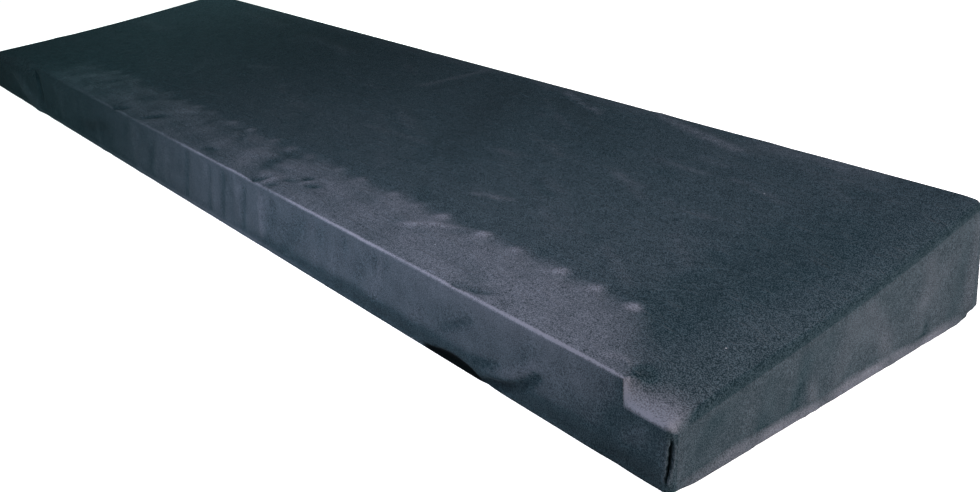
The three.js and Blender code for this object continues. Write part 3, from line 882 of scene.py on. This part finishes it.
def knitMaterial(spec):
    # dark knit: grain and soft patches in its colour, loops of the knit and fuzz in its bump, a little lint;
    # paler where the paleness attribute is above nothing (knit under tension and painted highlight), near
    # black as painted shade where it is below
    material, tree, shader = nodeTree("stretch_knit_cloth")
    place = addNode(tree, "ShaderNodeTexCoord").outputs["Object"]
    flat = addNode(tree, "ShaderNodeUVMap", {"uv_map": "weave"}).outputs["UV"]
    grain = addNode(tree, "ShaderNodeTexNoise", Vector=place, Scale=1 / spec["grain"], Detail=0.0)
    flecks = addNode(tree, "ShaderNodeTexNoise", Vector=place, Scale=1 / spec["fleck"], Detail=0.0)
    patches = addNode(tree, "ShaderNodeTexNoise", Vector=place, Scale=1 / spec["mottle"],
                      Detail=3.0, Roughness=0.55)
    both = mathNode(tree, "MULTIPLY_ADD", flecks.outputs[0], spec["fleckShare"], grain.outputs[0])
    fuzz = addNode(tree, "ShaderNodeAttribute", {"attribute_name": "fuzz"}).outputs["Fac"]
    speckle = mathNode(tree, "MULTIPLY", mathNode(tree, "MULTIPLY_ADD", both, *spec["speckle"]), fuzz)
    cloud = mathNode(tree, "MULTIPLY_ADD", patches.outputs[0], *spec["cloud"])
    share = mathNode(tree, "ADD", speckle, cloud)
    colour = mixColour(tree, share, spec["dark"], spec["light"])
    stretchAndPaintedLight = addNode(tree, "ShaderNodeAttribute", {"attribute_name": "paleness"}).outputs["Fac"]
    ofSpeckle, least = spec["uneven"]
    uneven = mathNode(tree, "MULTIPLY_ADD", speckle, ofSpeckle, mathNode(tree, "ADD", cloud, least))
    # towards the paler yarn where paleness is above nothing: knit under tension and painted highlight
    colour = mixColour(tree, mathNode(tree, "MULTIPLY", stretchAndPaintedLight, uneven), colour, spec["paleGroundAndHighlight"])
    # towards near black where it is below nothing: painted shade
    colour = mixColour(tree, mathNode(tree, "MULTIPLY", stretchAndPaintedLight, -1.0), colour, spec["soiled"])

    # lint: one speck in few of the cells of a coarse cellular pattern
    cells = addNode(tree, "ShaderNodeTexVoronoi", {"feature": "F1"}, Vector=place, Scale=spec["lintCells"])
    draw = addNode(tree, "ShaderNodeSeparateColor", in0=cells.outputs["Color"]).outputs[0]
    chosen = mathNode(tree, "GREATER_THAN", draw, spec["lintChosen"])
    near = mathNode(tree, "LESS_THAN", cells.outputs["Distance"], spec["lintSize"])
    speck = mathNode(tree, "MULTIPLY", mathNode(tree, "MULTIPLY", chosen, near), spec["lintShare"])
    colour = mixColour(tree, speck, colour, spec["lint"])
    tree.links.new(colour, shader.inputs["Base Color"])

    # knit loops: a V in each wale, repeated in courses
    axes = addNode(tree, "ShaderNodeSeparateXYZ", in0=flat)
    wale = mathNode(tree, "FRACT", mathNode(tree, "DIVIDE", axes.outputs[0], spec["wale"]))
    slope = mathNode(tree, "ABSOLUTE", mathNode(tree, "SUBTRACT", wale, 0.5))
    course = mathNode(tree, "DIVIDE", axes.outputs[1], spec["course"])
    loop = mathNode(tree, "FRACT", mathNode(tree, "ADD", course, slope))
    ridge = mathNode(tree, "SINE", mathNode(tree, "MULTIPLY", loop, math.pi))
    leg = mathNode(tree, "SINE", mathNode(tree, "MULTIPLY", slope, 2 * math.pi))
    stitch = mathNode(tree, "MULTIPLY", ridge, leg)
    loops = mathNode(tree, "MULTIPLY", stitch, spec["stitchRelief"])
    nap = mathNode(tree, "MULTIPLY", grain.outputs[0], spec["grainRelief"])
    relief = mathNode(tree, "ADD", loops, nap)

    # fine wrinkles: ridges where a stretched noise passes its middle, in patches
    long, short = spec["crinkle"]
    turned = addNode(tree, "ShaderNodeMapping", Vector=place, Scale=(1 / long, 1 / short, 1 / short),
                     Rotation=(0, 0, math.radians(-spec["crinkleTurn"])))
    waves = addNode(tree, "ShaderNodeTexNoise", Vector=turned.outputs[0], Scale=1.0,
                    Detail=2.0, Roughness=0.5)
    off = mathNode(tree, "ABSOLUTE", mathNode(tree, "SUBTRACT", waves.outputs[0], 0.5))
    away = mathNode(tree, "MINIMUM", mathNode(tree, "MULTIPLY", off, spec["crinkleSharp"]), 1.0)
    fold = mathNode(tree, "SUBTRACT", 1.0, away)
    where = mathNode(tree, "MULTIPLY_ADD", patches.outputs[0], *spec["crinklePatch"])
    within = mathNode(tree, "MINIMUM", mathNode(tree, "MAXIMUM", where, 0.0), 1.0)
    crinkle = mathNode(tree, "MULTIPLY", fold, within)
    loose = mathNode(tree, "MULTIPLY_ADD", fuzz, *spec["crinkleRelief"])
    relief = mathNode(tree, "MULTIPLY_ADD", crinkle, loose, relief)
    strength, distance = spec["bump"]
    bump = addNode(tree, "ShaderNodeBump", Strength=strength, Distance=distance, Height=relief)
    tree.links.new(bump.outputs[0], shader.inputs["Normal"])

    shader.inputs["Roughness"].default_value = spec["roughness"]
    shader.inputs["Specular IOR Level"].default_value = spec["specular"]
    shader.inputs["Specular Tint"].default_value = spec["gloss"]
    shader.inputs["Sheen Weight"].default_value = spec["sheen"]
    shader.inputs["Sheen Roughness"].default_value = spec["sheenRoughness"]
    shader.inputs["Sheen Tint"].default_value = spec["sheenTint"]
    return material


points, faces, flatPlaces, look = coverMesh()
coverPiece = addMesh("cover_cloth", points, faces, knitMaterial(knit))
weave = coverPiece.data.uv_layers.new(name="weave")
weave.data.foreach_set("uv", (flatPlaces * mm).astype(np.float32).ravel())
for column, name in enumerate(("paleness", "fuzz")):
    layer = coverPiece.data.attributes.new(name, "FLOAT", "POINT")
    layer.data.foreach_set("value", look[:, column].astype(np.float32))
cloth = coverPiece.modifiers.new("cloth", "SOLIDIFY")
cloth.thickness = cover["thickness"] * mm
cloth.offset = -1
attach(coverPiece, "root")
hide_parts("cover")
print("cover made:", len(points), "points,", len(faces), "faces")


# Floor, lights and backdrop
studio = {
    "floorSize": 12.0,        # metres
    "floorDrop": 0.0003,      # metres below the hem
    "floorColour": (0.92, 0.92, 0.92, 1),
    "floorGlow": 0.4,         # on the cloth; the camera sees plain white
    "lightColours": {"cool": (0.93, 0.94, 1.13), "plain": (1.05, 0.94, 1.01), "warm": (1.14, 0.95, 0.91),
                     "teal": (0.85, 1.05, 1.0), "deepTeal": (0.35, 1.10, 1.00)},
    "world": (0.25, 1.05, 0.95, 1),
    "worldStrength": 0.090,
}

# Softboxes: place and target in metres, power in watts, spread in degrees, width in metres, colour
softboxes = {
    "overhead": ((0.38, -0.15, 0.60), (0.36, -0.10, 0.05), 5.8, 180, 0.25, "plain"),
    "front": ((0.19, -0.46, 0.13), (0.21, -0.10, 0.03), 2.4, 180, 0.25, "cool"),
    "right": ((1.20, 0.00, 0.08), (0.50, 0.00, 0.02), 4.5, 120, 0.25, "warm"),
    "rightRear": ((1.15, 0.30, 0.06), (0.50, 0.10, 0.02), 2.9, 120, 0.25, "warm"),
    "corner": ((0.60, 0.35, 0.55), (0.50, 0.05, 0.05), 0.6, 120, 0.25, "cool"),
    "left": ((-0.56, 0.22, 0.55), (-0.54, 0.14, 0.06), 0.70, 80, 0.20, "teal"),
    "leftFront": ((-0.30, -0.32, 0.45), (-0.28, -0.12, 0.04), 0.21, 90, 0.20, "deepTeal"),
    "rear": ((0.00, 0.90, 0.03), (0.00, 0.13, 0.03), 3.0, 160, 0.05, "plain"),
}


def addSoftbox(name, place, target, power, spread, size, colour):
    # a square area light, turned so that it faces its target
    light = bpy.data.lights.new(name, "AREA")
    light.size = size
    light.energy = power
    light.spread = math.radians(spread)
    light.color = studio["lightColours"][colour]
    lamp = bpy.data.objects.new(name, light)
    lamp.location = place
    aim = np.array(target) - np.array(place)
    tilt = math.atan2(math.hypot(aim[0], aim[1]), -aim[2])
    lamp.rotation_euler = (tilt, 0, math.atan2(-aim[0], aim[1]))
    lamp.visible_camera = False
    bpy.context.collection.objects.link(lamp)


def addFloor(spec):
    # a plain square just below the hem, which glows a little on the cloth and is white to the camera
    material, tree, shader = nodeTree("pale_floor")
    shader.inputs["Base Color"].default_value = spec["floorColour"]
    shader.inputs["Roughness"].default_value = 0.9
    shader.inputs["Specular IOR Level"].default_value = 0.0
    shader.inputs["Emission Color"].default_value = (1, 1, 1, 1)
    seen = addNode(tree, "ShaderNodeLightPath").outputs["Is Camera Ray"]
    tree.links.new(mathNode(tree, "MAXIMUM", seen, spec["floorGlow"]), shader.inputs["Emission Strength"])
    half = spec["floorSize"] / 2
    mesh = bpy.data.meshes.new("floor")
    z = cadBox[0].z - spec["floorDrop"]
    square = [(-half, -half, z), (half, -half, z), (half, half, z), (-half, half, z)]
    mesh.from_pydata(square, [], [(0, 1, 2, 3)])
    mesh.materials.append(material)
    floor = bpy.data.objects.new("floor", mesh)
    bpy.context.collection.objects.link(floor)
    floor.visible_glossy = False


def addWorld(spec):
    # white behind everything, and only a faint fill on the cloth
    world = bpy.data.worlds.new("backdrop")
    world.use_nodes = True
    tree = world.node_tree
    sky = tree.nodes["Background"]
    seen = addNode(tree, "ShaderNodeLightPath").outputs["Is Camera Ray"]
    tree.links.new(mixColour(tree, seen, spec["world"], (1, 1, 1, 1)), sky.inputs["Color"])
    tree.links.new(mathNode(tree, "MAXIMUM", seen, spec["worldStrength"]), sky.inputs["Strength"])
    bpy.context.scene.world = world
    bpy.context.scene.view_settings.view_transform = "Standard"


addFloor(studio)
addWorld(studio)
for name, box in softboxes.items():
    addSoftbox(name, *box)
print("studio lit")
